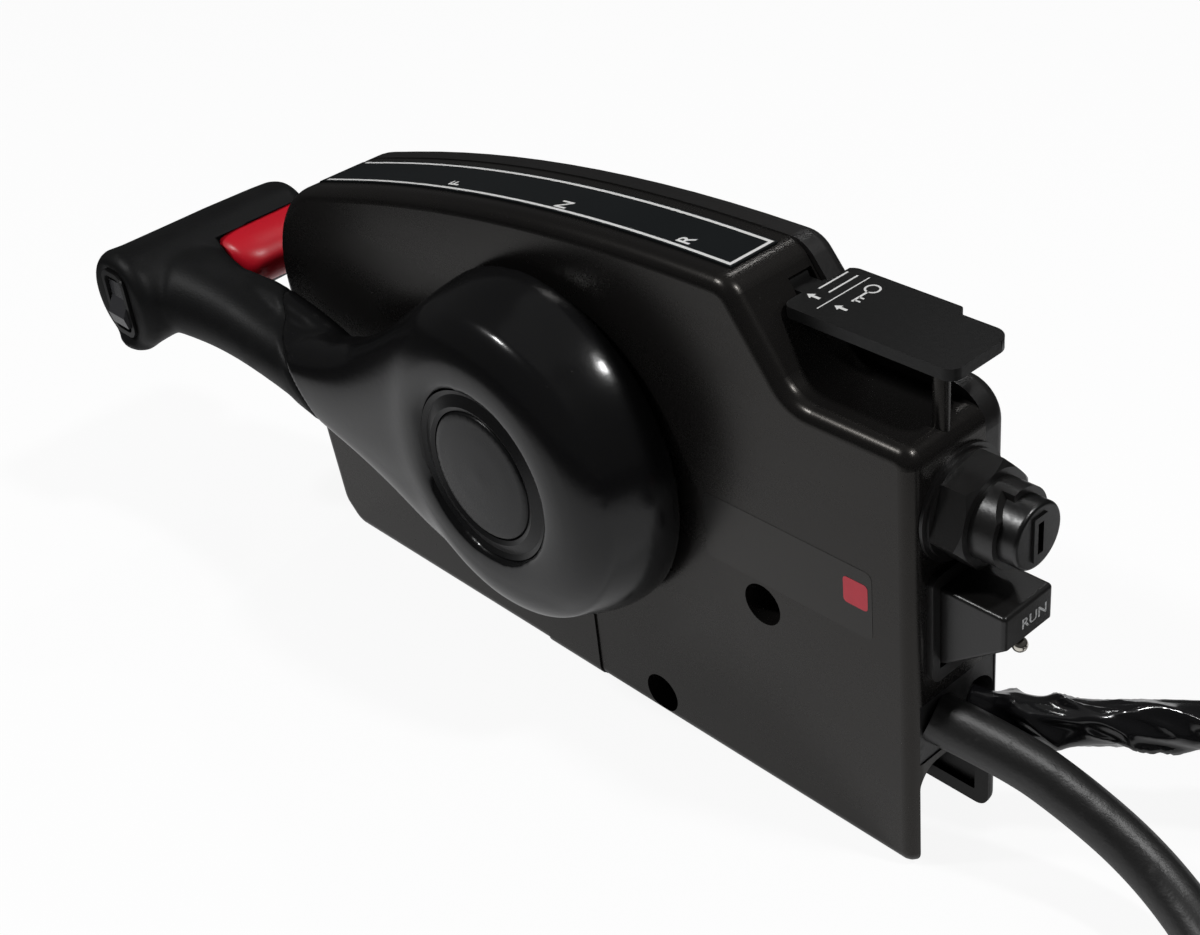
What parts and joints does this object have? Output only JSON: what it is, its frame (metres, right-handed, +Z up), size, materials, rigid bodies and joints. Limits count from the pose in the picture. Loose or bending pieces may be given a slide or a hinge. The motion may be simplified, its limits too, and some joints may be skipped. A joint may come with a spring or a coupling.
{
  "type": "boat throttle control lever",
  "caption": "Side-mount boat engine control: a case with a swinging throttle and shift lever, lock trigger, trim rocker, key switch, stop toggle and cables.",
  "frame": {"origin": "on the bottom rest face, under the lever shaft and half way through the depth of the case", "axes": "+Z up, +X towards the key end, -Y towards the front that carries the lever hub; the lever shaft runs along Y"},
  "size_m": [0.7283, 0.1811, 0.1684],
  "materials": {
    "case_plastic": "moulded, semi-gloss black",
    "case_rear_plastic": "moulded, semi-gloss black",
    "scale_film": "printed black film with white marks",
    "handle_paint": "gloss black paint on cast aluminium",
    "grip_rubber": "soft matte black",
    "cap_plastic": "satin black",
    "trigger_red": "satin red",
    "rocker_plastic": "polished dark grey",
    "switch_plastic": "satin black",
    "steel": "zinc plated",
    "bright_steel": "nickel plated",
    "brass": "drawn",
    "acetal": "natural white",
    "gear_nylon": "grey filled nylon",
    "cable_rubber": "matte black jacket",
    "sleeve_vinyl": "glossy crinkled vinyl sleeve"
  },
  "bodies": {
    "housing": {"front_housing": "case_plastic", "back_cover": "case_rear_plastic", "access_cover": "case_plastic", "gear_scale_plate": "scale_film", "mounting_sleeves": "steel", "cover_screws": "steel", "shaft_bush_front": "acetal", "shaft_bush_rear": "acetal", "lock_gate": "gear_nylon", "lever_pivot_pins": "steel", "detent_block": "gear_nylon", "neutral_start_switch": "switch_plastic", "warning_horn": "switch_plastic", "cable_anchors": "gear_nylon", "harness_grommet": "cable_rubber", "ignition_switch_body": "switch_plastic", "ignition_barrel": "switch_plastic", "ignition_washer": "switch_plastic", "ignition_nut": "switch_plastic", "stop_switch_body": "switch_plastic", "fast_idle_pin": "steel", "main_harness": "cable_rubber", "main_harness_coil": "cable_rubber", "main_harness_tail": "cable_rubber", "main_harness_plug": "switch_plastic", "gauge_harness": "sleeve_vinyl", "gauge_harness_plug": "switch_plastic"},
    "handle": {"handle_casting": "handle_paint", "handle_grip": "grip_rubber", "grip_bezel": "switch_plastic", "hub_ring": "cap_plastic", "hub_cap": "cap_plastic", "handle_screw": "steel", "control_shaft": "steel", "drive_gear": "gear_nylon", "throttle_cam": "gear_nylon", "detent_wheel": "gear_nylon"},
    "neutral_lock": {"lock_trigger": "trigger_red", "lock_rod": "steel"},
    "trim_rocker": {"trim_rocker": "rocker_plastic"},
    "shift_lever": {"shift_lever": "gear_nylon"},
    "throttle_lever": {"throttle_lever": "steel", "throttle_roller": "acetal"},
    "detent_plunger": {"detent_plunger": "steel"},
    "neutral_switch_plunger": {"neutral_switch_plunger": "acetal"},
    "choke_plunger": {"choke_plunger": "brass"},
    "key_cylinder": {"key_cylinder": "switch_plastic"},
    "stop_toggle": {"stop_toggle": "switch_plastic", "lanyard_stud": "bright_steel"},
    "fast_idle_lever": {"fast_idle_lever": "case_plastic"}
  },
  "joints": [
    {"name": "handle_swing", "type": "hinge", "parent": "housing", "child": "handle", "pos_m": [0, 0, 0.092], "axis": [0, 1, 0], "range_deg": [0, 135]},
    {"name": "lock_squeeze", "type": "slide", "parent": "handle", "child": "neutral_lock", "axis": [-1, 0, 0], "range_m": [0, 0.006], "stiffness_N_per_m": 600},
    {"name": "trim_rock", "type": "hinge", "parent": "handle", "child": "trim_rocker", "pos_m": [-0.1805, -0.061, 0.096], "axis": [1, 0, 0], "range_deg": [-8, 8], "stiffness_Nm_per_rad": 0.15},
    {"name": "shift_turn", "type": "hinge", "parent": "housing", "child": "shift_lever", "pos_m": [-0.00938, 0, 0.03882], "axis": [0, 1, 0], "range_deg": [-67.5, 0]},
    {"name": "throttle_turn", "type": "hinge", "parent": "housing", "child": "throttle_lever", "pos_m": [0.05982, 0, 0.11989], "axis": [0, 1, 0], "range_deg": [-21.6, 0]},
    {"name": "detent_slide", "type": "slide", "parent": "housing", "child": "detent_plunger", "axis": [0.7071, 0, -0.7071], "range_m": [0, 0.0012], "stiffness_N_per_m": 1500},
    {"name": "neutral_switch_press", "type": "slide", "parent": "housing", "child": "neutral_switch_plunger", "axis": [-1, 0, 0], "range_m": [0, 0.0008], "stiffness_N_per_m": 500},
    {"name": "choke_push", "type": "slide", "parent": "housing", "child": "choke_plunger", "axis": [-1, 0, 0], "range_m": [0, 0.003], "stiffness_N_per_m": 1500},
    {"name": "key_turn", "type": "hinge", "parent": "choke_plunger", "child": "key_cylinder", "pos_m": [0.14, 0, 0.117], "axis": [-1, 0, 0], "range_deg": [0, 60]},
    {"name": "stop_toggle_turn", "type": "hinge", "parent": "housing", "child": "stop_toggle", "pos_m": [0.134, 0, 0.083], "axis": [0, 1, 0], "range_deg": [0, 25]},
    {"name": "fast_idle_lift", "type": "hinge", "parent": "housing", "child": "fast_idle_lever", "pos_m": [0.076, 0, 0.158], "axis": [0, -1, 0], "range_deg": [0, 22]}
  ],
  "couplings": [
    {"joint": "shift_turn", "follows": "handle_swing", "ratio": -0.5},
    {"joint": "throttle_turn", "follows": "handle_swing", "ratio": -0.16}
  ]
}
